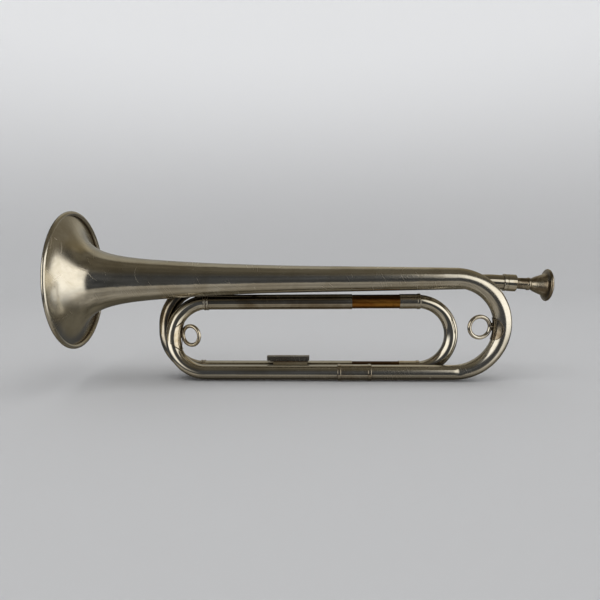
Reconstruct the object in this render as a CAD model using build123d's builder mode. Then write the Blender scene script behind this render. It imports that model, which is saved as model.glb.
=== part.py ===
from build123d import *
import math
import os

os.makedirs("parts", exist_ok=True)

# A bugle with a tuning slide, in millimetres.  The origin is the centre of the bell's mouth.
# +X runs along the bell's axis towards the mouthpiece, +Z is up, and +Y points from the bell's
# side of the coil to the leadpipe's side.  The line of a straight run is its place as (y, z).

# Bell
bead_r = 2.0
bead_x = 1.9
bead_line_r = 61.5
rim_wire_r = 1.48
rim_hollow_r = 1.5
bell_wall = 0.6
inner_steps = 30
tail_x = 349.4
tail_r = 9.25
flare_points = [
    (0.6, 61.5), (2.2, 54.6), (5.5, 46.4), (11, 38.2), (20, 30.6), (33, 25.1), (52, 21.1),
    (80, 18.2), (118, 15.6), (165, 13.4), (215, 11.9), (270, 10.9), (315, 10.05), (tail_x, tail_r),
]

# Tubing
tube_wall = 0.5
tube_r = 6.85
crook_r = 6.3
slide_outer_r = 7.05
slide_bore_r = 6.55
slide_inner_r = 6.5

# Lines of the straight runs
bell_line = (0, 0)
bottom_z = -87.2
front_bottom = (0, bottom_z)
upper_slide = (15.5, -23.3)
lower_slide = (15.5, bottom_z)
lead_start = (24, -10.1)

# Bends
tail_bend_r = -bottom_z / 2
tail_steps = 12
front_bow_x = 120.9
front_bow_r = 32
rear_bow_x = 115.5
rear_bow_r = 36
crook_x = 318.3
crook_bend_r = (upper_slide[1] - bottom_z) / 2

# Ends of the straight runs
tail_butt_x = 259.5
slide_mouth_x = 257.9
inner_slide_x = 172
crook_butt_x = 316

# The leadpipe climbs a little towards the mouthpiece, and its end droops
lead_rise = 0.85
lead_run = 267.3
lead_droop = 4.0
lead_droop_r = 110
lead_tip = 12.3
lead_end_x = 404

# Ferrules
sleeve_proud = 0.45
bead_proud = 0.85
tail_bead_width = 3.0
tail_ferrule_x = (244.0, 274.9)
band_width = 4.3
band_bead_width = 1.5
front_band_x = 118.2
rear_band_x = 112.9
crook_ferrule_x = (302.1, 321.1)
crook_bead_width = 2.8

# Cord rings and their saddles
ring_wire_r = 1.85
left_ring_r = 9.1
left_ring_at = (106.0, 8.0, -53.9)
left_ring_turn = -21.5
right_ring_r = 9.6
right_ring_at = (372.6, 0, -44.9)
right_ring_turn = 9
saddle_thickness = 0.7
left_saddle_outline = [(88.3, -48.5), (98.3, -41.5), (98.3, -66.5), (88.3, -59.5)]
right_saddle_at = (381.4, -46.2)
right_saddle_r = 10
lug_r = 2.4
left_lug_at = (93, 11.2, left_ring_at[2])
left_lug_length = 4.5
right_lug_at = (382, 1.5, right_ring_at[2])
right_lug_length = 5
outline_depth = 60

# Braces
post_r = 2.2
flange_r = 4.4
flange_proud = 0.9
flange_depth = 2.4
left_brace_x = 165
left_stem_r = 13.4
right_brace_x = 341
right_stem_r = 9.35
slide_brace_x = 140
bottom_rod_x = (150, 300)
foot_x = (184, 216)
foot_top_z = -78.5
foot_outline = [
    (0.6, -81.6), (3.4, foot_top_z), (12.0, foot_top_z), (15.0, -81.6), (15.0, -86), (0.6, -86),
]
rail_x = (178.0, 217.6)
rail_y = (4.9, 10.5)
rail_height = 5.1
rail_corner = 1.6
groove_depth = 0.5
groove_margin_x = 2.0
groove_margin_z = 1.2

# Mouthpiece and receiver
receiver_x = (399.1, 411.0)
receiver_r = 7.9
receiver_inner_x = 393
shank_end_x = 395
shank_mouth_r = 5.15
taper = 0.025
taper_clearance = 0.02
shank_bore_r = 3.7
shank_top_x = 420.7
throat_r = 2.0


def bend_plane(x, start, end, side):
    """Plane of a U bend: local x points out of the bend, local y from the first leg to the second."""
    outward = Vector(side, 0, 0)
    across = Vector(0, end[0] - start[0], end[1] - start[1]).normalized()
    return Plane(origin=(x, *start), x_dir=outward, z_dir=outward.cross(across))


def u_bend(x, start, end, side, radius, legs=(0, 0), less=0.0):
    """Two quarter bends, the straight run between them, and a straight leg at either end.

    The first bend starts late by the angle less, so that it meets a sloping run.
    """
    span = math.hypot(end[0] - start[0], end[1] - start[1])
    with BuildLine(bend_plane(x, start, end, side)) as path:
        if legs[0]:
            Line((-legs[0], 0), (0, 0))
        CenterArc((0, radius), radius, less - 90, 90 - less)
        if span - 2 * radius > 0.01:
            Line((radius, radius), (radius, span - radius))
        CenterArc((0, span - radius), radius, 0, 90)
        if legs[1]:
            Line((0, span), (-legs[1], span))
    return path.wire()


def straight(line, x_from, x_to):
    """Straight path along +X."""
    with BuildLine() as path:
        Line((x_from, *line), (x_to, *line))
    return path.wire()


def section(path, outer, inner=0.0):
    """Round section at the start of a path."""
    with BuildSketch(Plane(origin=path @ 0, z_dir=path % 0)) as cut:
        Circle(outer)
        if inner:
            Circle(inner, mode=Mode.SUBTRACT)
    return cut.sketch


def rod(path, radius):
    """Solid rod along a path, which bores a piece to fit round a tube."""
    with BuildPart() as bar:
        sweep(section(path, radius), path=path)
    return bar.part


def upright_plane(origin, heading):
    """Plane with local x along a heading and local y upwards."""
    return Plane(origin=origin, x_dir=heading, z_dir=heading.cross(Vector(0, 0, 1)))


def line_plane(line):
    """Upright plane through a straight run along X."""
    return upright_plane(Vector(0, *line), Vector(1, 0, 0))


def line_at(plane, x):
    """Place at x, as (y, z), on the line that a plane's local x follows."""
    place = plane.origin + plane.x_dir * ((x - plane.origin.X) / plane.x_dir.X)
    return (place.Y, place.Z)


def spin_axis(plane):
    """Axis along a plane's local x."""
    return Axis(plane.origin, plane.x_dir)


def beaded_bar(plane, x_from, x_to, radius, beads, width):
    """Solid bar with a round bead at each x in beads, ready to be bored as a ferrule."""
    with BuildPart() as bar:
        with BuildSketch(plane):
            with Locations((x_from, 0)):
                Rectangle(x_to - x_from, radius + sleeve_proud, align=(Align.MIN, Align.MIN))
        revolve(axis=spin_axis(plane))
        for x in beads:
            with BuildSketch(plane):
                with Locations((x, 0)):
                    Rectangle(width, radius + bead_proud, align=(Align.MIN, Align.MIN))
            revolve(axis=spin_axis(plane))
        bead_edges = bar.edges().filter_by(GeomType.CIRCLE).group_by(lambda edge: edge.radius)[-1]
        fillet(bead_edges, bead_proud * 0.45)
    return bar.part


def band(plane, x, rods):
    """Narrow ferrule with a bead at either edge, bored by the rods."""
    beads = (x, x + band_width - band_bead_width)
    with BuildPart() as ring:
        add(beaded_bar(plane, x, x + band_width, tube_r, beads, band_bead_width))
        for tube in rods:
            add(tube, mode=Mode.SUBTRACT)
    return ring.part


def post(x, start, start_r, end, end_r):
    """Turned post between two round tubes, with a flange bedded on each, not yet fitted to them."""
    base = Vector(x, *start)
    tip = Vector(x, *end)
    direction = (tip - base).normalized()
    foot = base + direction * (start_r - flange_depth)
    head = tip - direction * (end_r - flange_depth)
    with BuildPart() as turned:
        with BuildSketch(Plane(origin=foot, z_dir=direction)):
            Circle(post_r)
        extrude(amount=(head - foot).length)
        for place, way in ((foot, direction), (head, -direction)):
            with BuildSketch(Plane(origin=place, z_dir=way)):
                Circle(flange_r)
            extrude(amount=flange_depth + flange_proud)
    return turned.part


def tail_radius(turn):
    """Outer radius of the tail bow at a turn of 0 to 180 degrees from the bell's end."""
    return tail_r + (tube_r - tail_r) * turn / 180


def tail_plane(turn):
    """Plane across the tail bow at a turn of 0 to 180 degrees."""
    angle = math.radians(turn)
    centre = Vector(tail_x + tail_bend_r * math.sin(angle), 0, tail_bend_r * (math.cos(angle) - 1))
    return Plane(origin=centre, x_dir=(0, 1, 0), z_dir=(math.cos(angle), 0, -math.sin(angle)))


def tail_solid(extra):
    """Solid tapering bow whose radius is that of the tail bow plus extra."""
    with BuildPart() as bow:
        for step in range(tail_steps + 1):
            turn = 180 * step / tail_steps
            with BuildSketch(tail_plane(turn)):
                Circle(tail_radius(turn) + extra)
        loft()
    return bow.part


def bore_radius(x):
    """Radius of the receiver's tapered bore."""
    return shank_mouth_r - taper * (receiver_x[1] - x)


def inner_face(outline, thickness):
    """Front surface of the bell sheet: the back surface moved in along its normals."""
    inner_points = []
    for step in range(inner_steps + 1):
        u = step / inner_steps
        place = outline @ u
        heading = outline % u
        inner_points.append((place.X + thickness * heading.Y, place.Y - thickness * heading.X))
    return Spline(*inner_points)


# ---- Bell ----

with BuildPart() as bell:
    with BuildSketch(Plane.XZ) as sheet:
        with BuildLine():
            back_face = Spline(*flare_points)
            front_face = inner_face(back_face, bell_wall)
            Line(back_face @ 0, front_face @ 0)
            Line(back_face @ 1, front_face @ 1)
        make_face()
        with Locations((bead_x, bead_line_r)):
            Circle(bead_r)
            Circle(rim_hollow_r, mode=Mode.SUBTRACT)
        with Locations((0, bead_line_r)):
            Rectangle(bead_r, 4 * bead_r, align=(Align.MAX, Align.CENTER), mode=Mode.SUBTRACT)
    revolve(axis=Axis.X)

with BuildPart() as bell_rim_wire:
    with BuildSketch(Plane.XZ):
        with Locations((bead_x, bead_line_r)):
            Circle(rim_wire_r)
    revolve(axis=Axis.X)

# Solid of the bell's outside, for bedding the brace flanges on the stem
with BuildPart() as stem_solid:
    with BuildSketch(Plane.XZ):
        with BuildLine():
            outline = Spline(*flare_points)
            Polyline(outline @ 1, (tail_x, 0), (flare_points[0][0], 0), outline @ 0)
        make_face()
    revolve(axis=Axis.X)

# ---- Tail bow: tapered bend from the bell down to the bottom tube ----

with BuildPart() as tail_bow:
    add(tail_solid(0))
    add(tail_solid(-tube_wall), mode=Mode.SUBTRACT)
    leg = straight(front_bottom, tail_butt_x, tail_x)
    sweep(section(leg, tube_r, tube_r - tube_wall), path=leg)

# ---- Front left bow and its long bottom leg ----

front_span = (upper_slide, front_bottom)
front_path = u_bend(front_bow_x, *front_span, -1, front_bow_r, (0, tail_butt_x - front_bow_x))
with BuildPart() as front_left_bow:
    sweep(section(front_path, tube_r, tube_r - tube_wall), path=front_path)

# ---- Rear left bow and the leadpipe ----

rear_path = u_bend(rear_bow_x, lead_start, lower_slide, -1, rear_bow_r, less=lead_rise)
with BuildPart() as rear_left_bow:
    sweep(section(rear_path, tube_r, tube_r - tube_wall), path=rear_path)

lead_plane = upright_plane(rear_path @ 0, (rear_path % 0) * -1)
with BuildLine(lead_plane) as lead_route:
    Line((0, 0), (lead_run, 0))
    CenterArc((lead_run, -lead_droop_r), lead_droop_r, 90, -(lead_rise + lead_droop))
    PolarLine(lead_route.line @ 1, lead_tip, -(lead_rise + lead_droop))
lead_path = lead_route.wire()
mouth_plane = upright_plane(lead_path @ 1 - lead_path % 1 * lead_end_x, lead_path % 1)
with BuildPart() as leadpipe:
    sweep(section(lead_path, tube_r, tube_r - tube_wall), path=lead_path)

# ---- Outer slides ----

upper_outer_path = straight(upper_slide, front_bow_x, slide_mouth_x)
with BuildPart() as upper_outer_slide:
    sweep(section(upper_outer_path, slide_outer_r, slide_bore_r), path=upper_outer_path)

lower_outer_path = straight(lower_slide, rear_bow_x, slide_mouth_x)
with BuildPart() as lower_outer_slide:
    sweep(section(lower_outer_path, slide_outer_r, slide_bore_r), path=lower_outer_path)

# ---- Tuning slide: two inner legs and the crook ----

upper_inner_path = straight(upper_slide, inner_slide_x, crook_butt_x)
with BuildPart() as upper_inner_slide:
    sweep(section(upper_inner_path, slide_inner_r, slide_inner_r - tube_wall), path=upper_inner_path)

lower_inner_path = straight(lower_slide, inner_slide_x, crook_butt_x)
with BuildPart() as lower_inner_slide:
    sweep(section(lower_inner_path, slide_inner_r, slide_inner_r - tube_wall), path=lower_inner_path)

crook_leg = crook_x - crook_butt_x
crook_path = u_bend(crook_x, upper_slide, lower_slide, 1, crook_bend_r, (crook_leg, crook_leg))
with BuildPart() as tuning_crook:
    sweep(section(crook_path, crook_r, crook_r - tube_wall), path=crook_path)

# ---- Solid rods in place of the tubes, to bore and fit the pieces that sit on them ----

bottom_rod = rod(straight(front_bottom, *bottom_rod_x), tube_r)
upper_outer_rod = rod(upper_outer_path, slide_outer_r)
lower_outer_rod = rod(lower_outer_path, slide_outer_r)
front_bow_rod = rod(front_path, tube_r)
rear_bow_rod = rod(rear_path, tube_r)
lead_rod = rod(lead_path, tube_r)
crook_rod = rod(crook_path, crook_r)

# ---- Ferrules, each bored to the tubes that it covers ----

tail_beads = (tail_ferrule_x[0], tail_ferrule_x[1] - tail_bead_width)
with BuildPart() as tail_bow_ferrule:
    add(beaded_bar(line_plane(front_bottom), *tail_ferrule_x, tube_r, tail_beads, tail_bead_width))
    add(bottom_rod, mode=Mode.SUBTRACT)

with BuildPart() as front_bow_ferrule:
    add(band(line_plane(upper_slide), front_band_x, [front_bow_rod, upper_outer_rod]))

with BuildPart() as rear_bow_lower_ferrule:
    add(band(line_plane(lower_slide), rear_band_x, [rear_bow_rod, lower_outer_rod]))

with BuildPart() as rear_bow_upper_ferrule:
    add(band(lead_plane, -band_width / 2, [rear_bow_rod, lead_rod]))

crook_beads = (crook_ferrule_x[1] - crook_bead_width,)
crook_bar = (*crook_ferrule_x, slide_inner_r, crook_beads, crook_bead_width)
with BuildPart() as upper_crook_ferrule:
    add(beaded_bar(line_plane(upper_slide), *crook_bar))
    add(crook_rod, mode=Mode.SUBTRACT)
    add(rod(upper_inner_path, slide_inner_r), mode=Mode.SUBTRACT)

with BuildPart() as lower_crook_ferrule:
    add(beaded_bar(line_plane(lower_slide), *crook_bar))
    add(crook_rod, mode=Mode.SUBTRACT)
    add(rod(lower_inner_path, slide_inner_r), mode=Mode.SUBTRACT)

# ---- Cord rings, each soldered to a saddle on the inside of a bow ----

with BuildPart() as left_cord_ring:
    with Locations(Location(left_ring_at, (0, 0, left_ring_turn))):
        Torus(left_ring_r, ring_wire_r, rotation=(90, 0, 0))

with BuildPart() as right_cord_ring:
    with Locations(Location(right_ring_at, (0, 0, right_ring_turn))):
        Torus(right_ring_r, ring_wire_r, rotation=(90, 0, 0))

front_bend_path = u_bend(front_bow_x, *front_span, -1, front_bow_r)
with BuildPart() as left_ring_saddle:
    sweep(section(front_bend_path, tube_r + saddle_thickness, tube_r), path=front_bend_path)
    with BuildSketch(Plane.XZ.offset(-outline_depth / 2)):
        with BuildLine():
            Polyline(*left_saddle_outline, close=True)
        make_face()
    extrude(amount=outline_depth, mode=Mode.INTERSECT)
    with BuildSketch(Plane(origin=left_lug_at, z_dir=(1, 0, 0))):
        Circle(lug_r)
    extrude(amount=left_lug_length)
    add(rod(front_bend_path, tube_r), mode=Mode.SUBTRACT)
    add(left_cord_ring.part, mode=Mode.SUBTRACT)

with BuildPart() as right_ring_saddle:
    add(tail_solid(saddle_thickness))
    add(tail_solid(0), mode=Mode.SUBTRACT)
    with BuildSketch(Plane.XZ.offset(-outline_depth / 2)):
        with Locations(right_saddle_at):
            Circle(right_saddle_r)
    extrude(amount=outline_depth, mode=Mode.INTERSECT)
    with BuildSketch(Plane(origin=right_lug_at, z_dir=(1, 0, 0))):
        Circle(lug_r)
    extrude(amount=right_lug_length)
    add(tail_solid(0), mode=Mode.SUBTRACT)
    add(right_cord_ring.part, mode=Mode.SUBTRACT)

# ---- Braces ----

with BuildPart() as brace_saddle:
    with BuildSketch(Plane.YZ.offset(foot_x[0])):
        with BuildLine():
            Polyline(*foot_outline, close=True)
        make_face()
    extrude(amount=foot_x[1] - foot_x[0])
    add(bottom_rod, mode=Mode.SUBTRACT)
    add(lower_outer_rod, mode=Mode.SUBTRACT)

with BuildPart() as brace_rail:
    with BuildSketch(Plane.XZ.offset(-rail_y[1])):
        with Locations((rail_x[0], foot_top_z)):
            Rectangle(rail_x[1] - rail_x[0], rail_height, align=(Align.MIN, Align.MIN))
    extrude(amount=rail_y[1] - rail_y[0])
    chamfer(brace_rail.edges().filter_by(Axis.Y).group_by(Axis.Z)[0], rail_corner)
    with BuildSketch(Plane.XZ.offset(-rail_y[0])):
        with Locations((sum(rail_x) / 2, foot_top_z + rail_height / 2)):
            Rectangle(rail_x[1] - rail_x[0] - 2 * groove_margin_x, rail_height - 2 * groove_margin_z)
    extrude(amount=-groove_depth, mode=Mode.SUBTRACT)

with BuildPart() as bell_brace_left:
    add(post(left_brace_x, bell_line, left_stem_r, line_at(lead_plane, left_brace_x), tube_r))
    add(stem_solid.part, mode=Mode.SUBTRACT)
    add(lead_rod, mode=Mode.SUBTRACT)

with BuildPart() as bell_brace_right:
    add(post(right_brace_x, bell_line, right_stem_r, line_at(lead_plane, right_brace_x), tube_r))
    add(stem_solid.part, mode=Mode.SUBTRACT)
    add(lead_rod, mode=Mode.SUBTRACT)

with BuildPart() as slide_brace:
    add(post(slide_brace_x, upper_slide, slide_outer_r, line_at(lead_plane, slide_brace_x), tube_r))
    add(upper_outer_rod, mode=Mode.SUBTRACT)
    add(lead_rod, mode=Mode.SUBTRACT)

# ---- Receiver: a collar round the leadpipe's end with a tapered sleeve inside it ----

with BuildPart() as mouthpiece_receiver:
    with BuildSketch(mouth_plane):
        with BuildLine():
            Polyline(
                (receiver_inner_x, bore_radius(receiver_inner_x)),
                (receiver_inner_x, tube_r - tube_wall),
                (lead_end_x, tube_r - tube_wall),
                (lead_end_x, tube_r),
                (receiver_x[0], tube_r),
                (receiver_x[0], receiver_r - 0.3),
                (receiver_x[0] + 0.4, receiver_r + 0.1),
                (receiver_x[0] + 2.4, receiver_r + 0.1),
                (receiver_x[0] + 2.8, receiver_r - 0.5),
                (receiver_x[0] + 3.6, receiver_r - 0.5),
                (receiver_x[0] + 4.0, receiver_r),
                (receiver_x[1] - 0.6, receiver_r),
                (receiver_x[1], receiver_r - 0.6),
                (receiver_x[1], bore_radius(receiver_x[1])),
                close=True,
            )
        make_face()
    revolve(axis=spin_axis(mouth_plane))

# ---- Mouthpiece: tapered shank, turned bead, cup and rim ----

with BuildPart() as mouthpiece:
    with BuildSketch(mouth_plane):
        with BuildLine():
            Line((shank_end_x, shank_bore_r), (shank_end_x, bore_radius(shank_end_x) - taper_clearance))
            shank = Line(
                (shank_end_x, bore_radius(shank_end_x) - taper_clearance),
                (shank_top_x, bore_radius(shank_top_x) - taper_clearance),
            )
            bead = ThreePointArc(shank @ 1, (shank_top_x + 1.8, 5.95), (shank_top_x + 3.7, 5.0))
            cup = Spline(bead @ 1, (428.6, 7.3), (433.0, 9.0), (436.2, 10.4))
            back = ThreePointArc(cup @ 1, (437.7, 12.1), (438.2, 14.2))
            edge = ThreePointArc(back @ 1, (439.5, 15.0), (440.9, 14.2))
            face = ThreePointArc(edge @ 1, (442.0, 11.2), (440.6, 8.5))
            well = Spline(face @ 1, (436.0, 7.3), (430.5, 4.4), (427.0, throat_r))
            Polyline(well @ 1, (424.0, throat_r), (shank_end_x, shank_bore_r))
        make_face()
    revolve(axis=spin_axis(mouth_plane))

# ---- Labels and files ----

pieces = {
    "bell": bell,
    "bell_rim_wire": bell_rim_wire,
    "tail_bow": tail_bow,
    "tail_bow_ferrule": tail_bow_ferrule,
    "front_left_bow": front_left_bow,
    "front_bow_ferrule": front_bow_ferrule,
    "upper_outer_slide": upper_outer_slide,
    "lower_outer_slide": lower_outer_slide,
    "rear_left_bow": rear_left_bow,
    "rear_bow_lower_ferrule": rear_bow_lower_ferrule,
    "rear_bow_upper_ferrule": rear_bow_upper_ferrule,
    "leadpipe": leadpipe,
    "mouthpiece_receiver": mouthpiece_receiver,
    "mouthpiece": mouthpiece,
    "tuning_crook": tuning_crook,
    "upper_inner_slide": upper_inner_slide,
    "lower_inner_slide": lower_inner_slide,
    "upper_crook_ferrule": upper_crook_ferrule,
    "lower_crook_ferrule": lower_crook_ferrule,
    "left_ring_saddle": left_ring_saddle,
    "left_cord_ring": left_cord_ring,
    "right_ring_saddle": right_ring_saddle,
    "right_cord_ring": right_cord_ring,
    "brace_saddle": brace_saddle,
    "brace_rail": brace_rail,
    "bell_brace_left": bell_brace_left,
    "bell_brace_right": bell_brace_right,
    "slide_brace": slide_brace,
}

for name, piece in pieces.items():
    piece.part.label = name
    export_step(piece.part, f"parts/{name}.step")
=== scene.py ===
import math
import bpy
from mathutils import Matrix, Vector


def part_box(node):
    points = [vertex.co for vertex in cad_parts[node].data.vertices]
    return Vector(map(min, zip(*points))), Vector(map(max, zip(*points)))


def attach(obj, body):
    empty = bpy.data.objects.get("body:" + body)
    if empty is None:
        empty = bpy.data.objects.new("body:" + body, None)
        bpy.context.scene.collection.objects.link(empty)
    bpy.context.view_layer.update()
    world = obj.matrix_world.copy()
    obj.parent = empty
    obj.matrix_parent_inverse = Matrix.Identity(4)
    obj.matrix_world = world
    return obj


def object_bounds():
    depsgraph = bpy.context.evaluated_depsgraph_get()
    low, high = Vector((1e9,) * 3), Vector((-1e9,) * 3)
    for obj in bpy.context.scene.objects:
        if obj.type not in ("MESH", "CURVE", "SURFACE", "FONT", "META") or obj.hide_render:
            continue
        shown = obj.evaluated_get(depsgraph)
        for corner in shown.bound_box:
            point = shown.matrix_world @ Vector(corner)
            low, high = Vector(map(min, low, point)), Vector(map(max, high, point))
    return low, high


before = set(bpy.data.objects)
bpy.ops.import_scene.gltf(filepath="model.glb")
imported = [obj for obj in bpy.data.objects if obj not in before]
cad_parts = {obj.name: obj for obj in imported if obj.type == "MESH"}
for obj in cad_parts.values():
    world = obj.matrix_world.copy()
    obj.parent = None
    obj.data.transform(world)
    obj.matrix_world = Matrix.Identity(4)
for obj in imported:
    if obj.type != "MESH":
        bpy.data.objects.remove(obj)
cad_low, cad_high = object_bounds()

ALONG = Vector((1, 0, 0))
UP = Vector((0, 0, 1))
BLACK = (0.0, 0.0, 0.0)

# ---------------------------------------------------------------- camera

# Place in metres, angles in degrees, sensor and focal length in millimetres
CAMERA_AT = Vector((0.2361, -0.5209, 0.0541))
CAMERA_YAW = -2.88
CAMERA_PITCH = 8.02
CAMERA_ROLL = -0.65
SENSOR = 36.0
FOCAL_LENGTH = 34.57


def make_camera():
    """Camera at the photograph's viewing angle."""
    yaw, pitch, roll = (math.radians(angle) for angle in (CAMERA_YAW, CAMERA_PITCH, CAMERA_ROLL))
    level = math.cos(pitch)
    ahead = Vector((math.sin(yaw) * level, math.cos(yaw) * level, -math.sin(pitch)))
    level_right = ahead.cross(UP).normalized()
    level_up = level_right.cross(ahead)
    right = math.cos(roll) * level_right + math.sin(roll) * level_up
    up = math.cos(roll) * level_up - math.sin(roll) * level_right
    data = bpy.data.cameras.new("camera")
    data.sensor_width = SENSOR
    data.lens = FOCAL_LENGTH
    data.clip_start = 0.01
    data.clip_end = 50
    camera = bpy.data.objects.new("camera", data)
    turn = Matrix((right, up, -ahead)).transposed()
    camera.matrix_world = Matrix.Translation(CAMERA_AT) @ turn.to_4x4()
    bpy.context.scene.collection.objects.link(camera)
    bpy.context.scene.camera = camera


# ---------------------------------------------------------------- shader helpers

def plug(tree, socket, value):
    """Link a socket to the input, or set the input to a plain value."""
    if isinstance(value, bpy.types.NodeSocket):
        tree.links.new(value, socket)
    elif isinstance(value, tuple) and len(value) == 3 and socket.type == "RGBA":
        socket.default_value = (*value, 1)
    else:
        socket.default_value = value


def node(tree, kind, inputs, **settings):
    made = tree.nodes.new(kind)
    for key, value in settings.items():
        setattr(made, key, value)
    for key, value in inputs.items():
        plug(tree, made.inputs[key], value)
    return made


def maths(tree, operation, *values):
    return node(tree, "ShaderNodeMath", dict(enumerate(values)), operation=operation).outputs[0]


def times(tree, a, b):
    return maths(tree, "MULTIPLY", a, b)


def plus(tree, *values):
    total = values[0]
    for value in values[1:]:
        total = maths(tree, "ADD", total, value)
    return total


def dot(tree, vector, axis):
    made = node(tree, "ShaderNodeVectorMath", {0: vector, 1: axis}, operation="DOT_PRODUCT")
    return made.outputs["Value"]


def ramp(tree, value, low, high, to_low=0.0, to_high=1.0):
    """Smooth step from to_low at low to to_high at high."""
    if low > high:
        low, high, to_low, to_high = high, low, to_high, to_low
    made = node(tree, "ShaderNodeMapRange", {"Value": value, "From Min": low, "From Max": high,
                                             "To Min": to_low, "To Max": to_high},
                interpolation_type="SMOOTHSTEP")
    return made.outputs["Result"]


def between(tree, value, limits):
    """Mask that rises from the first limit to the second and falls from the third to the fourth."""
    rise = ramp(tree, value, limits[0], limits[1])
    fall = ramp(tree, value, limits[2], limits[3], 1.0, 0.0)
    return times(tree, rise, fall)


def mix(tree, factor, a, b, blend="MIX"):
    made = node(tree, "ShaderNodeMix", {}, data_type="RGBA", blend_type=blend)
    plug(tree, made.inputs[0], factor)
    plug(tree, made.inputs[6], a)
    plug(tree, made.inputs[7], b)
    return made.outputs[2]


def noise(tree, place, scale, detail=3.0, rough=0.5, distortion=0.0):
    made = node(tree, "ShaderNodeTexNoise", {"Vector": place, "Scale": scale, "Detail": detail,
                                             "Roughness": rough, "Distortion": distortion})
    return made.outputs["Fac"]


def stretched(tree, place, scale):
    """Coordinates scaled on each axis, so that a texture runs in streaks."""
    return node(tree, "ShaderNodeMapping", {"Vector": place, "Scale": scale}).outputs["Vector"]


def object_place(tree):
    return node(tree, "ShaderNodeTexCoord", {}).outputs["Object"]


def facing_up(tree):
    """1 on a surface that faces up, -1 on one that faces down."""
    return dot(tree, node(tree, "ShaderNodeTexCoord", {}).outputs["Normal"], UP)


def bumped(tree, layers):
    """Chain of bump nodes, one for each (height, distance) pair."""
    normal = None
    for height, distance in layers:
        inputs = {"Height": height, "Distance": distance, "Strength": 1.0}
        if normal is not None:
            inputs["Normal"] = normal
        normal = node(tree, "ShaderNodeBump", inputs).outputs["Normal"]
    return normal


def new_material(name):
    material = bpy.data.materials.new(name)
    material.use_nodes = True
    return material, material.node_tree, material.node_tree.nodes["Principled BSDF"]


# ---------------------------------------------------------------- stage

def new_object(name, verts, faces):
    mesh = bpy.data.meshes.new(name)
    mesh.from_pydata(verts, [], faces)
    mesh.update()
    for face in mesh.polygons:
        face.use_smooth = True
    made = bpy.data.objects.new(name, mesh)
    bpy.context.scene.collection.objects.link(made)
    return made


# Round stage, in metres
STAGE_CENTRE = (0.22, 0.0)
FLOOR_R = 0.80
SWEEP_R = 0.60
WALL_TOP = 2.6
SWEEP_STEPS = 20
STAGE_SEGMENTS = 96

FLOOR_GREY = (0.60, 0.605, 0.615)
WALL_WHITE = (0.985, 0.99, 1.0)
WALL_GLOW = 0.33
GLOW_HEIGHTS = (0.02, 0.7)


def make_stage():
    """Round pale floor that sweeps up into a wall; the metal mirrors the room of the world instead."""
    floor_z = cad_low.z
    outline = [(FLOOR_R, floor_z)]
    for step in range(1, SWEEP_STEPS + 1):
        angle = math.pi / 2 * step / SWEEP_STEPS
        outline.append((FLOOR_R + SWEEP_R * math.sin(angle), floor_z + SWEEP_R * (1 - math.cos(angle))))
    outline.append((FLOOR_R + SWEEP_R, floor_z + WALL_TOP))
    x, y = STAGE_CENTRE
    verts = [(x, y, floor_z)]
    for i in range(STAGE_SEGMENTS):
        turn = 2 * math.pi * i / STAGE_SEGMENTS
        verts += [(x + r * math.cos(turn), y + r * math.sin(turn), z) for r, z in outline]
    count = len(outline)
    faces = []
    for i in range(STAGE_SEGMENTS):
        here = 1 + i * count
        there = 1 + (i + 1) % STAGE_SEGMENTS * count
        faces.append((0, here, there))
        faces += [(here + k, here + k + 1, there + k + 1, there + k) for k in range(count - 1)]
    floor = new_object("floor", verts, faces)
    floor.data.materials.append(pale_floor(floor_z))
    floor.visible_glossy = False


def pale_floor(floor_z):
    """Matt pale paper, with the wall lit evenly all round."""
    material, tree, shader = new_material("pale_floor")
    height = dot(tree, node(tree, "ShaderNodeNewGeometry", {}).outputs["Position"], UP)
    start, full = (floor_z + rise for rise in GLOW_HEIGHTS)
    plug(tree, shader.inputs["Base Color"], FLOOR_GREY)
    plug(tree, shader.inputs["Roughness"], 0.9)
    plug(tree, shader.inputs["Specular IOR Level"], 0.1)
    plug(tree, shader.inputs["Emission Color"], WALL_WHITE)
    plug(tree, shader.inputs["Emission Strength"], ramp(tree, height, start, full, 0.0, WALL_GLOW))
    material.cycles.emission_sampling = "NONE"
    return material


# ---------------------------------------------------------------- light

WARM = (1.0, 0.965, 0.90)

# Nearby panel, in metres: where its glow starts, is full, starts to fade and ends
PANEL_Y = -0.94
PANEL_X = (0.52, 0.66, 0.95, 1.10)
PANEL_Z = (0.06, 0.24, 0.82, 1.00)
PANEL_STRENGTH = 1.3


def make_panel():
    """Nearby bright panel in front on the right, with faded edges, which only the metal mirrors."""
    left, right = PANEL_X[0], PANEL_X[-1]
    bottom, top = PANEL_Z[0], PANEL_Z[-1]
    corners = [(x, PANEL_Y, z) for x, z in ((left, bottom), (right, bottom), (right, top), (left, top))]
    panel = new_object("panel", corners, [(0, 1, 2, 3)])
    material, tree, _ = new_material("panel_glow")
    place = node(tree, "ShaderNodeNewGeometry", {}).outputs["Position"]
    across = between(tree, dot(tree, place, ALONG), PANEL_X)
    upwards = between(tree, dot(tree, place, UP), PANEL_Z)
    clear = node(tree, "ShaderNodeBsdfTransparent", {}).outputs[0]
    glow = node(tree, "ShaderNodeEmission", {"Color": WARM, "Strength": PANEL_STRENGTH}).outputs[0]
    blend = node(tree, "ShaderNodeMixShader", {0: times(tree, across, upwards), 1: clear, 2: glow})
    plug(tree, tree.nodes["Material Output"].inputs["Surface"], blend.outputs[0])
    material.cycles.emission_sampling = "NONE"
    panel.data.materials.append(material)
    panel.visible_camera = False
    panel.visible_diffuse = False
    panel.visible_shadow = False


# Least share of a heading that lies ahead, so that the tangents stay finite
LEAST_AHEAD = 0.001


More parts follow.
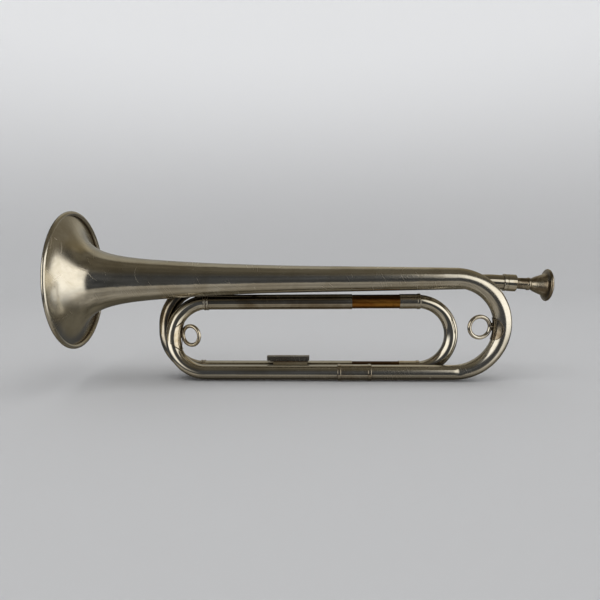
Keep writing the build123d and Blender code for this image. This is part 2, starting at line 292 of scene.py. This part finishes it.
def softbox(tree, heading, azimuth, sides, heights, colour):
    """Rectangular soft light in the world, seen in perspective."""
    angle = math.radians(azimuth)
    ahead = dot(tree, heading, (math.sin(angle), -math.cos(angle), 0))
    across = dot(tree, heading, (math.cos(angle), math.sin(angle), 0))
    depth = maths(tree, "MAXIMUM", ahead, LEAST_AHEAD)
    u = maths(tree, "DIVIDE", across, depth)
    v = maths(tree, "DIVIDE", dot(tree, heading, UP), depth)
    in_front = maths(tree, "GREATER_THAN", ahead, LEAST_AHEAD)
    mask = times(tree, in_front, times(tree, between(tree, u, sides), between(tree, v, heights)))
    return mix(tree, mask, BLACK, colour)


ROOM_DARK = (0.066, 0.068, 0.072)
CEILING = (0.125, 0.110, 0.082)
CEILING_HEIGHTS = (0.35, 0.85)
TABLE_FRONT = (0.33, 0.305, 0.265)
TABLE_BACK = (0.13, 0.118, 0.092)
TABLE_DEPTHS = (-0.35, 0.25)
TABLE_HEIGHTS = (-0.42, -0.47)
WALL = (0.24, 0.23, 0.20)
SIDE_WALL = (0.12, 0.095, 0.05)
WINDOW_STRENGTH = 1.5
WINDOW = tuple(WINDOW_STRENGTH * share for share in WARM)
BACKGROUND = (0.50, 0.505, 0.515)
CLUTTER_SCALE = 3.2
CLUTTER_SHADE = (0.62, 1.38)

# Windows and lit walls: azimuth in degrees from -Y towards +X, then sides and heights as tangents of
# where the light starts, is full, starts to fade and ends, then its colour
ROOM_LIGHTS = {
    "right_window": (48, (-0.36, -0.20, 1.9, 2.7), (-0.95, -0.05, 0.62, 0.86), WINDOW),
    "left_window": (-52, (-0.50, -0.40, 0.28, 0.80), (-0.30, -0.02, 0.52, 0.62), WINDOW),
    "back_wall": (188, (-0.8, -0.25, 0.3, 0.7), (-0.5, 0.0, 2.5, 5.0), WALL),
    "right_wall": (138, (-0.6, -0.25, 0.6, 0.9), (-0.3, 0.0, 1.2, 2.2), SIDE_WALL),
}

# Soft light over the stage, in metres and watts
OVERHEAD_AT = Vector((0.2, -0.15, 1.7))
OVERHEAD_AIM = Vector((0.2, 0.05, 0))
OVERHEAD_SIZE = (1.6, 1.2)
OVERHEAD_POWER = 11


def make_room():
    """A dim room with a large soft window on the right and a smaller one on the left."""
    world = bpy.data.worlds.new("studio")
    bpy.context.scene.world = world
    world.use_nodes = True
    tree = world.node_tree
    heading = node(tree, "ShaderNodeTexCoord", {}).outputs["Generated"]
    height = dot(tree, heading, UP)
    towards_back = dot(tree, heading, (0, 1, 0))
    light = mix(tree, ramp(tree, height, *CEILING_HEIGHTS), ROOM_DARK, CEILING)
    table = mix(tree, ramp(tree, towards_back, *TABLE_DEPTHS), TABLE_FRONT, TABLE_BACK)
    light = mix(tree, ramp(tree, height, *TABLE_HEIGHTS), light, table)
    clutter = ramp(tree, noise(tree, heading, CLUTTER_SCALE, 4.0, 0.6), 0.32, 0.68, *CLUTTER_SHADE)
    light = mix(tree, 1.0, light, clutter, "MULTIPLY")
    for azimuth, sides, heights, colour in ROOM_LIGHTS.values():
        light = mix(tree, 1.0, light, softbox(tree, heading, azimuth, sides, heights, colour), "ADD")
    seen = node(tree, "ShaderNodeLightPath", {}).outputs["Is Camera Ray"]
    plug(tree, tree.nodes["Background"].inputs["Color"], mix(tree, seen, light, BACKGROUND))


def make_overhead():
    """Soft light for the floor and the wall, which leaves no highlight on the metal."""
    data = bpy.data.lights.new("overhead", "AREA")
    data.shape = "RECTANGLE"
    data.size, data.size_y = OVERHEAD_SIZE
    data.energy = OVERHEAD_POWER
    light = bpy.data.objects.new("overhead", data)
    light.location = OVERHEAD_AT
    light.rotation_euler = (OVERHEAD_AIM - OVERHEAD_AT).to_track_quat("-Z", "Y").to_euler()
    light.visible_camera = False
    light.visible_glossy = False
    bpy.context.scene.collection.objects.link(light)


# ---------------------------------------------------------------- nickel plate

SILVER = (0.66, 0.63, 0.55)
# Tarnish colour, which also serves as the painted shade on faces that point down
TARNISH_AND_SHADE = (0.48, 0.43, 0.33)
PIT_BROWN = (0.16, 0.12, 0.07)
# Colour that the painted shade between parts darkens towards
PAINTED_SHADE_BLACK = (0.045, 0.034, 0.022)
SCRATCH_BRIGHT = (0.80, 0.74, 0.62)

# Texture scales per metre and bump depths in metres
CLOUD_SCALE = 34
WAVE_SCALE = 38
PIT_SCALE = 330
DRAWN_SCALE = 420
GRAIN_SCALE = 1500
SCRATCH_SCALES = (48, 80)
SCRATCH_WIDTH = 0.008
WAVE_DEPTH = 0.00005
DRAWN_DEPTH = 0.0000012
GRAIN_DEPTH = 0.0000006
PIT_DEPTH = 0.000006

# Reach of the look for open space, which sets the painted shade between parts, and where along X the
# satin starts and is full, in metres
PAINTED_SHADE_REACH = 0.018
TAIL_SATIN = (0.20, 0.33)
FLARE_SATIN = (0.03, 0.005)


def scratch_set(tree, place, scale, turn, cover):
    """Short fine scratches: thin bands of a bent wave, kept only where a noise is high."""
    turned = node(tree, "ShaderNodeMapping", {"Vector": place, "Rotation": turn}).outputs["Vector"]
    wave = node(tree, "ShaderNodeTexWave", {"Vector": turned, "Scale": scale, "Distortion": 5.0,
                                            "Detail": 1.0, "Detail Scale": 0.5}).outputs["Fac"]
    line = ramp(tree, wave, 1.0 - SCRATCH_WIDTH, 1.0)
    patch = ramp(tree, noise(tree, place, scale * 0.9, 1.0), cover, cover + 0.06)
    return times(tree, line, patch)


def scratches(tree, place, strength):
    """Two sets of scratches that cross each other."""
    coarse, fine = SCRATCH_SCALES
    one = scratch_set(tree, place, coarse, (0.3, 0.5, 0.9), 0.60)
    other = scratch_set(tree, place, fine, (1.2, 0.2, 0.4), 0.61)
    return times(tree, maths(tree, "MAXIMUM", one, other), strength)


def tarnish_and_shade_share(tree, cloud, lines, wear):
    """How tarnished the metal is, in clouds and along the drawn lines, plus painted shade on what faces
    down.
    """
    # Painted shade: faces that point down get darker
    painted_underside_shade = ramp(tree, facing_up(tree), -0.2, -0.95)
    tarnish_and_shade = plus(tree, ramp(tree, cloud, 0.38, 0.72), times(tree, painted_underside_shade, 0.35),
               times(tree, ramp(tree, lines, 0.45, 0.75), 0.3))
    return maths(tree, "MINIMUM", times(tree, tarnish_and_shade, wear), 1.0)


def painted_shade_share(tree, cloud, shade_openness):
    """Painted shade where nearby parts close the surface in, from ambient occlusion; it also stands for
    old polish left in the crevices.
    """
    look = node(tree, "ShaderNodeAmbientOcclusion", {"Distance": PAINTED_SHADE_REACH}, samples=6)
    return ramp(tree, plus(tree, look.outputs["AO"], times(tree, cloud, 0.15)), *shade_openness)


def nickel(name, bright, tarnish_and_shade_colour, rough, streak=(0.12, 1, 1), wear=0.5, scratch=0.5, shade_openness=(0.78, 0.42),
           satin=0.0, flare=0.0, dent=None):
    """Old nickel plate: mottled tarnish, drawn streaks, pits and scratches, with painted shade where
    nearby parts close it in and on what faces down.

    The openness argument gives where the painted shade between parts starts and is full; satin roughens
    the metal towards the tail bow, and flare towards the bell's rim; dent is a (place, radius, depth).
    """
    material, tree, shader = new_material(name)
    place = object_place(tree)
    cloud = noise(tree, place, CLOUD_SCALE, 4.0, 0.6, 0.4)
    lines = noise(tree, stretched(tree, place, streak), DRAWN_SCALE, 4.0, 0.6)
    grain = noise(tree, place, GRAIN_SCALE, 2.0, 0.6)
    pits = ramp(tree, noise(tree, place, PIT_SCALE, 2.0, 0.5), 0.70, 0.78)
    marks = scratches(tree, place, scratch)
    tarnish_and_shade = tarnish_and_shade_share(tree, cloud, lines, wear)
    # Tarnish, with painted shade on faces that point down
    colour = mix(tree, tarnish_and_shade, bright, tarnish_and_shade_colour)
    colour = mix(tree, times(tree, pits, 0.55), colour, PIT_BROWN)
    # Painted shade: darker where nearby parts close the surface in
    colour = mix(tree, times(tree, painted_shade_share(tree, cloud, shade_openness), 0.9), colour, PAINTED_SHADE_BLACK)
    colour = mix(tree, marks, colour, SCRATCH_BRIGHT)
    x = dot(tree, place, ALONG)
    gloss = plus(tree, rough, times(tree, ramp(tree, lines, 0.3, 0.8), 0.03), times(tree, tarnish_and_shade, 0.05),
                 times(tree, marks, 0.25), ramp(tree, x, *TAIL_SATIN, 0.0, satin),
                 ramp(tree, x, *FLARE_SATIN, 0.0, flare))
    hollows = maths(tree, "SUBTRACT", 0.0, maths(tree, "MAXIMUM", pits, marks))
    layers = [(noise(tree, place, WAVE_SCALE, 2.0), WAVE_DEPTH), (lines, DRAWN_DEPTH),
              (grain, GRAIN_DEPTH), (hollows, PIT_DEPTH)]
    if dent:
        centre, radius, depth = dent
        away = node(tree, "ShaderNodeVectorMath", {0: place, 1: centre}, operation="DISTANCE")
        layers.append((ramp(tree, away.outputs["Value"], 0.0, radius), depth))
    plug(tree, shader.inputs["Base Color"], colour)
    plug(tree, shader.inputs["Metallic"], 1.0)
    plug(tree, shader.inputs["Roughness"], gloss)
    plug(tree, shader.inputs["Normal"], bumped(tree, layers))
    return material


# ---------------------------------------------------------------- other metals

BRASS_BRIGHT = (0.52, 0.25, 0.05)
BRASS_DARK = (0.30, 0.105, 0.02)
BRASS_STAIN = (0.17, 0.05, 0.012)
# Colour of the painted shade along the top and the bottom of the legs
BRASS_SHADE = (0.045, 0.022, 0.008)


def bare_brass():
    """Unplated slide legs: orange brass, stained, with painted shade along the top and the bottom."""
    material, tree, shader = new_material("bare_brass")
    place = object_place(tree)
    cloud = noise(tree, stretched(tree, place, (0.25, 1, 1)), 120, 4.0, 0.65, 0.6)
    stain = noise(tree, place, 60, 5.0, 0.7, 0.3)
    fine = noise(tree, place, 1400, 2.0)
    upwards = plus(tree, facing_up(tree), times(tree, maths(tree, "SUBTRACT", cloud, 0.5), 0.5))
    # Painted shade: the top and the bottom of each leg are darkened
    painted_shade_top_bottom = maths(tree, "MAXIMUM", ramp(tree, upwards, 0.05, 0.75), ramp(tree, upwards, -0.45, -0.95))
    colour = mix(tree, ramp(tree, cloud, 0.35, 0.7), BRASS_BRIGHT, BRASS_DARK)
    colour = mix(tree, ramp(tree, stain, 0.50, 0.68), colour, BRASS_STAIN)
    colour = mix(tree, times(tree, painted_shade_top_bottom, 0.88), colour, BRASS_SHADE)
    plug(tree, shader.inputs["Base Color"], colour)
    plug(tree, shader.inputs["Metallic"], 1.0)
    plug(tree, shader.inputs["Roughness"], plus(tree, 0.24, times(tree, stain, 0.25)))
    plug(tree, shader.inputs["Normal"], bumped(tree, [(cloud, 0.00006), (fine, 0.000008)]))
    return material


PLATE_RUBBED = (0.47, 0.42, 0.33)
PLATE_BROWN = (0.22, 0.175, 0.12)
PLATE_LINES = (0.12, 0.09, 0.06)


def mouthpiece_plate():
    """Worn mouthpiece plating: brown tarnish with bright rubbed spots and turning marks."""
    material, tree, shader = new_material("mouthpiece_plate")
    place = object_place(tree)
    cloud = noise(tree, place, 110, 4.0, 0.65, 0.5)
    rings = noise(tree, stretched(tree, place, (1, 0.15, 0.15)), 900, 3.0, 0.6)
    colour = mix(tree, ramp(tree, cloud, 0.36, 0.62), PLATE_RUBBED, PLATE_BROWN)
    colour = mix(tree, times(tree, ramp(tree, rings, 0.5, 0.75), 0.4), colour, PLATE_LINES)
    plug(tree, shader.inputs["Base Color"], colour)
    plug(tree, shader.inputs["Metallic"], 1.0)
    plug(tree, shader.inputs["Roughness"], plus(tree, 0.20, times(tree, cloud, 0.16)))
    plug(tree, shader.inputs["Normal"], bumped(tree, [(rings, 0.00003), (cloud, 0.0001)]))
    return material


def solder(name, light, dark):
    """Solder with a soft cast surface."""
    material, tree, shader = new_material(name)
    cloud = noise(tree, object_place(tree), 420, 4.0, 0.6)
    plug(tree, shader.inputs["Base Color"], mix(tree, ramp(tree, cloud, 0.35, 0.65), light, dark))
    plug(tree, shader.inputs["Metallic"], 1.0)
    plug(tree, shader.inputs["Roughness"], plus(tree, 0.30, times(tree, cloud, 0.25)))
    plug(tree, shader.inputs["Normal"], bumped(tree, [(cloud, 0.0001)]))
    return material


GREASE_BROWN = (0.10, 0.055, 0.02)
GREASE_BLACK = (0.03, 0.018, 0.008)


def grease():
    """Dark brown slide grease, half dried."""
    material, tree, shader = new_material("grease")
    cloud = noise(tree, object_place(tree), 700, 3.0, 0.6)
    plug(tree, shader.inputs["Base Color"], mix(tree, cloud, GREASE_BROWN, GREASE_BLACK))
    plug(tree, shader.inputs["Roughness"], plus(tree, 0.25, times(tree, cloud, 0.3)))
    plug(tree, shader.inputs["Normal"], bumped(tree, [(cloud, 0.00008)]))
    return material


# Dent low on the tail bow, in metres: place, radius, depth
TAIL_DENT = ((0.3545, -0.0066, -0.0848), 0.0055, 0.0005)
PLAIN_TUBES = ("bow", "slide", "crook")


def dress_nodes():
    """Give each CAD node its metal; the bell is satin and the tubes are brighter, and the parts in shade
    get darker copies with painted shade.
    """
    polished = nickel("nickel_plate", SILVER, TARNISH_AND_SHADE, 0.07)
    tail = nickel("tail_nickel", SILVER, TARNISH_AND_SHADE, 0.08, satin=0.09, dent=TAIL_DENT)
    # Darker copy with painted shade, for the upper slide, the leadpipe and the rear bow that lie in shade
    shaded = nickel("shaded_nickel", (0.58, 0.54, 0.45), (0.30, 0.24, 0.16), 0.08, wear=0.85, scratch=0.3,
                  shade_openness=(0.98, 0.50))
    bell = nickel("bell_nickel", SILVER, TARNISH_AND_SHADE, 0.12, streak=(0.10, 1, 1), wear=0.6, scratch=0.9,
                  shade_openness=(0.6, 0.3), satin=0.05, flare=0.07)
    rail = nickel("rail_nickel", (0.56, 0.52, 0.44), (0.26, 0.21, 0.14), 0.22, streak=(0.3, 1, 1),
                  wear=0.9, scratch=0.4)
    # Darker copy with painted shade, for the right ring's saddle in the shade of the ring and the bow
    shadowed = nickel("shadowed_nickel", (0.45, 0.40, 0.31), (0.16, 0.12, 0.075), 0.12, wear=1.0,
                   shade_openness=(1.05, 0.6))
    fitting = nickel("fitting_nickel", SILVER, (0.42, 0.34, 0.22), 0.09, streak=(1, 1, 1), wear=0.8,
                     scratch=0.3)
    brass = bare_brass()
    chosen = {"bell": bell, "tail_bow": tail, "mouthpiece": mouthpiece_plate(), "brace_rail": rail,
              "right_ring_saddle": shadowed, "upper_outer_slide": shaded, "leadpipe": shaded,
              "rear_left_bow": shaded, "upper_inner_slide": brass, "lower_inner_slide": brass}
    for name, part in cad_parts.items():
        default = polished if name.endswith(PLAIN_TUBES) else fitting
        part.data.materials.clear()
        part.data.materials.append(chosen.get(name, default))


# ---------------------------------------------------------------- lines of the tubes

def middle_of(name):
    low, high = (Vector(corner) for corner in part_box(name))
    return (low + high) / 2


def line_through(name):
    """Place at X = 0 of the line along X that a ferrule sits on."""
    place = middle_of(name)
    return Vector((0, place.y, place.z))


STEM_LINE = Vector((0, 0, 0))
UPPER_SLIDE_LINE = line_through("front_bow_ferrule")
LOWER_SLIDE_LINE = line_through("rear_bow_lower_ferrule")
BOTTOM_LINE = line_through("tail_bow_ferrule")

# Straight run of the leadpipe, from the rear bow to the bend behind the tail bow, in metres
LEADPIPE_FROM = Vector((0.1150, 0.0240, -0.0101))
LEADPIPE_TO = Vector((0.3822, 0.02443, -0.00617))

# Outer radii, in metres
TUBE_R = 0.00685
SLIDE_OUTER_R = 0.00705
INNER_SLIDE_R = 0.0065
CROOK_R = 0.0063
TAIL_R_AT_BELL = 0.00925


def leadpipe_at(x):
    share = (x - LEADPIPE_FROM.x) / (LEADPIPE_TO.x - LEADPIPE_FROM.x)
    return LEADPIPE_FROM.lerp(LEADPIPE_TO, share)


# ---------------------------------------------------------------- beads of solder, grease and painted shade

RING_SIDES = 12
LOOP_STEPS = 48
SHORT_WAVE = 1.7
LONG_WAVE = 0.61


def bead_along(name, points, thickness, material, body="horn", closed=True, wobble=0.18):
    """Thin uneven bead laid along a line of points, for solder, grease and painted shade; an open one has
    thin ends.
    """
    count = len(points)
    verts = []
    side = None
    for i, place in enumerate(points):
        before = points[i - 1] if closed or i > 0 else place
        after = points[(i + 1) % count] if closed or i < count - 1 else place
        heading = (after - before).normalized()
        side = heading.orthogonal() if side is None else side - heading * side.dot(heading)
        side.normalize()
        lift = heading.cross(side)
        radius = thickness * (1 + wobble * (math.sin(i * SHORT_WAVE) + math.sin(i * LONG_WAVE + 1)) / 2)
        if not closed:
            radius *= math.sqrt(max(0.05, math.sin(math.pi * (i + 0.5) / count)))
        for k in range(RING_SIDES):
            angle = 2 * math.pi * k / RING_SIDES
            verts.append(place + (side * math.cos(angle) + lift * math.sin(angle)) * radius)
    faces = []
    for i in range(count if closed else count - 1):
        here, there = i * RING_SIDES, (i + 1) % count * RING_SIDES
        for k in range(RING_SIDES):
            m = (k + 1) % RING_SIDES
            faces.append((here + k, here + m, there + m, there + k))
    if not closed:
        faces.append(tuple(reversed(range(RING_SIDES))))
        faces.append(tuple((count - 1) * RING_SIDES + k for k in range(RING_SIDES)))
    made = new_object(name, verts, faces)
    made.data.materials.append(material)
    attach(made, body)


def hoop(centre, radius, steps=LOOP_STEPS):
    """Circle of points round a line along X."""
    side = ALONG.orthogonal().normalized()
    lift = ALONG.cross(side).normalized()
    turns = (2 * math.pi * i / steps for i in range(steps))
    return [centre + (side * math.cos(turn) + lift * math.sin(turn)) * radius for turn in turns]


# ---------------------------------------------------------------- solder, with painted shade and a painted highlight

FLANGE_R = 0.0044
SOLDER_LIFT = 0.0003
FILLET_R = 0.00055

# Each brace: its node, its solder's name, and the line and radius of the tube that it stands on
BRACES = (
    ("bell_brace_left", "left_bell_brace", STEM_LINE, 0.0134),
    ("bell_brace_right", "right_bell_brace", STEM_LINE, 0.00935),
    ("slide_brace", "slide_brace", UPPER_SLIDE_LINE, SLIDE_OUTER_R),
)


def flange_loop(centre, towards, tube_radius):
    """Line where a brace flange meets a tube that runs along X."""
    way = (towards - centre).normalized()
    across = way.cross(ALONG)
    points = []
    for step in range(LOOP_STEPS):
        angle = 2 * math.pi * step / LOOP_STEPS
        sideways = FLANGE_R * math.sin(angle)
        height = math.sqrt(tube_radius ** 2 - sideways ** 2) + SOLDER_LIFT
        points.append(centre + way * height + ALONG * FLANGE_R * math.cos(angle) + across * sideways)
    return points


def solder_braces(material):
    """Fillet of solder round both flanges of each brace."""
    for brace, name, line, radius in BRACES:
        x = middle_of(brace).x
        low = Vector((x, line.y, line.z))
        high = leadpipe_at(x)
        bead_along(name + "_solder_a", flange_loop(low, high, radius), FILLET_R, material)
        bead_along(name + "_solder_b", flange_loop(high, low, TUBE_R), FILLET_R, material)


TAIL_BEND_R = -BOTTOM_LINE.z / 2
TAIL_CENTRE = Vector((0.3494, 0, -TAIL_BEND_R))
RIGHT_SADDLE_AT = Vector((0.3814, 0, -0.0462))
RIGHT_SADDLE_R = 0.0100
RIGHT_SEAM_R = 0.00042
SADDLE_RISE = 0.00045


def tail_surface(x, z, side):
    """Point on the tail bow's surface over (x, z), on the side -1 or +1, or None outside it."""
    away = Vector((x, 0, z)) - TAIL_CENTRE
    turn = math.atan2(away.x, away.z)
    radius = TAIL_R_AT_BELL + (TUBE_R - TAIL_R_AT_BELL) * turn / math.pi + SADDLE_RISE
    offset = away.length - TAIL_BEND_R
    if abs(offset) > radius:
        return None
    return Vector((x, side * math.sqrt(radius ** 2 - offset ** 2), z))


def seam_shade_right_saddle(material):
    """Dark solder seam round the half-round saddle of the right cord ring, on either side of the bow; its
    dark colour is also painted shade along the saddle's edge.
    """
    angles = [math.pi / 2 * step / LOOP_STEPS for step in range(-LOOP_STEPS, LOOP_STEPS + 1)]
    for side, label in ((-1, "front"), (1, "back")):
        seam = (tail_surface(RIGHT_SADDLE_AT.x + RIGHT_SADDLE_R * math.cos(angle),
                             RIGHT_SADDLE_AT.z + RIGHT_SADDLE_R * math.sin(angle), side)
                for angle in angles)
        points = [place for place in seam if place is not None]
        bead_along("right_saddle_shade_seam_" + label, points, RIGHT_SEAM_R, material, closed=False)


FRONT_BEND_CENTRE_X = 0.1209
FRONT_BEND_R = 0.032
SEAM_LIFT = 0.0007
LEFT_SEAM_R = 0.00035
LEFT_SADDLE_HALF_TIP = 0.0055
SIDE_STEPS = 16
PROBE_FROM = -0.012
PROBE_STEP = 0.00025
PROBE_COUNT = 120


def front_bow_surface(x, z):
    """Point on the near side of the front bow's left end over (x, z), or None outside it."""
    upper = UPPER_SLIDE_LINE.yz
    way = BOTTOM_LINE.yz - upper
    span = way.length
    way.normalize()
    for step in range(PROBE_COUNT):
        y = PROBE_FROM + PROBE_STEP * step
        away = Vector((y, z)) - upper
        down = away.dot(way)
        bend_down = min(max(down, FRONT_BEND_R), span - FRONT_BEND_R)
        from_bend = math.hypot(x - FRONT_BEND_CENTRE_X, down - bend_down) - FRONT_BEND_R
        from_plane = away.dot(Vector((-way.y, way.x)))
        if math.hypot(from_bend, from_plane) <= TUBE_R + SEAM_LIFT:
            return Vector((x, y, z))
    return None


def seam_shade_left_saddle(material):
    """Dark solder seam round the pointed saddle of the left cord ring, on its near side; its dark colour
    is also painted shade along the saddle's edge.
    """
    low, high = (Vector(corner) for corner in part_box("left_ring_saddle"))
    middle_z = (low.z + high.z) / 2
    corners = [(low.x, middle_z + LEFT_SADDLE_HALF_TIP), (high.x, high.z), (high.x, low.z),
               (low.x, middle_z - LEFT_SADDLE_HALF_TIP)]
    points = []
    for (x0, z0), (x1, z1) in zip(corners, corners[1:] + corners[:1]):
        for step in range(SIDE_STEPS):
            share = step / SIDE_STEPS
            place = front_bow_surface(x0 + (x1 - x0) * share, z0 + (z1 - z0) * share)
            if place is not None:
                points.append(place)
    bead_along("left_saddle_shade_seam", points, LEFT_SEAM_R, material, closed=False)


# Lump between each cord ring and its saddle, in metres: name, middle, half length, and how far its
# ends bend to the left
RING_LUMPS = (
    ("left_ring_solder", Vector((0.0957, 0.0112, -0.0539)), 0.0030, 0.0009),
    ("right_ring_solder", Vector((0.3842, 0.0015, -0.0449)), 0.0045, -0.0009),
)
RING_LUMP_R = 0.0016


def ring_solder(material):
    """Lump of solder between each cord ring and its saddle."""
    count = LOOP_STEPS // 2
    for name, middle, reach, bow in RING_LUMPS:
        shares = [i / (count - 1) * 2 - 1 for i in range(count)]
        points = [middle + Vector((-bow * share ** 2, 0, reach * share)) for share in shares]
        bead_along(name, points, RING_LUMP_R, material, closed=False, wobble=0.25)


RAIL_MARGIN = 0.0016
RAIL_FOOT_LIFT = 0.0002
RAIL_SHADOW_LINE_R = 0.00045
RAIL_STEPS = 40
RAIL_LUMP_FROM = Vector((-0.0012, 0.0006, 0.0001))
RAIL_LUMP_STEP = 0.0004
RAIL_LUMP_STEPS = 9
RAIL_LUMP_R = 0.0009


def rail_solder_highlight_and_shadow(bright, dark):
    """Solder lump at the rail's left foot, coloured bright as a painted highlight, and a dark line along
    its foot on either side as painted shadow.
    """
    low, high = (Vector(corner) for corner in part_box("brace_rail"))
    foot_z = low.z + RAIL_FOOT_LIFT
    left, right = low.x + RAIL_MARGIN, high.x - RAIL_MARGIN
    # Painted shadow: a dark line along the foot on either side
    for label, y in (("front", low.y), ("back", high.y)):
        points = [Vector((left + (right - left) * i / (RAIL_STEPS - 1), y, foot_z))
                  for i in range(RAIL_STEPS)]
        bead_along("rail_shadow_line_" + label, points, RAIL_SHADOW_LINE_R, dark, closed=False)
    # Painted highlight: a solder lump coloured bright at the left foot
    start = Vector((left, low.y, foot_z)) + RAIL_LUMP_FROM
    lump = [start + ALONG * RAIL_LUMP_STEP * i for i in range(RAIL_LUMP_STEPS)]
    bead_along("rail_solder_highlight_lump", lump, RAIL_LUMP_R, bright, closed=False, wobble=0.3)


# ---------------------------------------------------------------- grime and grease

SLEEVE_RISE = 0.00045
GRIME_R = 0.00026
GROOVE_GRIME_R = 0.00030
SHORT_FERRULE = 0.006

# Ferrules: node, line, radius at the left and the right end, body, and the ends with grime
# (a for the left one, b for the right one)
FERRULE_JOINTS = (
    ("front_bow_ferrule", UPPER_SLIDE_LINE, TUBE_R, SLIDE_OUTER_R, "horn", "ab"),
    ("rear_bow_lower_ferrule", LOWER_SLIDE_LINE, TUBE_R, SLIDE_OUTER_R, "horn", "ab"),
    ("tail_bow_ferrule", BOTTOM_LINE, TUBE_R, TUBE_R, "horn", "ab"),
    ("upper_crook_ferrule", UPPER_SLIDE_LINE, INNER_SLIDE_R, CROOK_R, "tuning_slide", "b"),
    ("lower_crook_ferrule", LOWER_SLIDE_LINE, INNER_SLIDE_R, CROOK_R, "tuning_slide", "b"),
)


def ferrule_grime(material):
    """Dark lines in the joints of the ferrules, and in the groove between a short one's beads."""
    for name, line, low_r, high_r, body, ends in FERRULE_JOINTS:
        low_x, high_x = (corner[0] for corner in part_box(name))
        for label, x, radius in (("a", low_x, low_r), ("b", high_x, high_r)):
            if label in ends:
                loop = hoop(Vector((x, line.y, line.z)), radius)
                bead_along(name + "_grime_" + label, loop, GRIME_R, material, body, wobble=0.5)
        if high_x - low_x < SHORT_FERRULE:
            loop = hoop(Vector(((low_x + high_x) / 2, line.y, line.z)), low_r + SLEEVE_RISE)
            bead_along(name + "_grime_c", loop, GROOVE_GRIME_R, material, body, wobble=0.5)


RIM_GROOVE_AT = Vector((0.00125, 0, 0))
RIM_GROOVE_R = 0.05955
RIM_GRIME_R = 0.00038
RIM_STEPS = 240


def rim_grime(material):
    """Dark line of old polish where the rolled rim meets the flare."""
    loop = hoop(RIM_GROOVE_AT, RIM_GROOVE_R, RIM_STEPS)
    bead_along("rim_grime", loop, RIM_GRIME_R, material, wobble=0.35)


GREASE_DEPTH = 0.0001
GREASE_HOOP_R = 0.00685
GREASE_R = 0.00019


def grease_rings(material):
    """Line of old grease just inside the mouth of each outer slide."""
    for name, line in (("upper", UPPER_SLIDE_LINE), ("lower", LOWER_SLIDE_LINE)):
        mouth_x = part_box(name + "_outer_slide")[1][0] - GREASE_DEPTH
        loop = hoop(Vector((mouth_x, line.y, line.z)), GREASE_HOOP_R)
        bead_along(name + "_slide_grease", loop, GREASE_R, material, wobble=0.2)


# ---------------------------------------------------------------- scene

make_camera()
make_stage()
make_panel()
make_room()
make_overhead()
dress_nodes()
# Old solder, whose dark seams round the saddles also paint the shade along their edges
solder_and_seam_shade = solder("solder_and_seam_shade", (0.26, 0.22, 0.16), (0.11, 0.08, 0.048))
# Solder coloured bright as a painted highlight, for the rail's lump
highlight_solder = solder("highlight_solder", (0.78, 0.74, 0.66), (0.52, 0.47, 0.38))
# Slide grease, also used for the painted shadow lines under the rail
grease_and_shadow_line = grease()
solder_braces(solder_and_seam_shade)
seam_shade_right_saddle(solder_and_seam_shade)
seam_shade_left_saddle(solder_and_seam_shade)
ring_solder(solder_and_seam_shade)
# The rail's dark foot lines are painted shadow and its bright lump a painted highlight
rail_solder_highlight_and_shadow(highlight_solder, grease_and_shadow_line)
ferrule_grime(grease_and_shadow_line)
rim_grime(grease_and_shadow_line)
grease_rings(grease_and_shadow_line)
bpy.context.scene.view_settings.view_transform = "Standard"
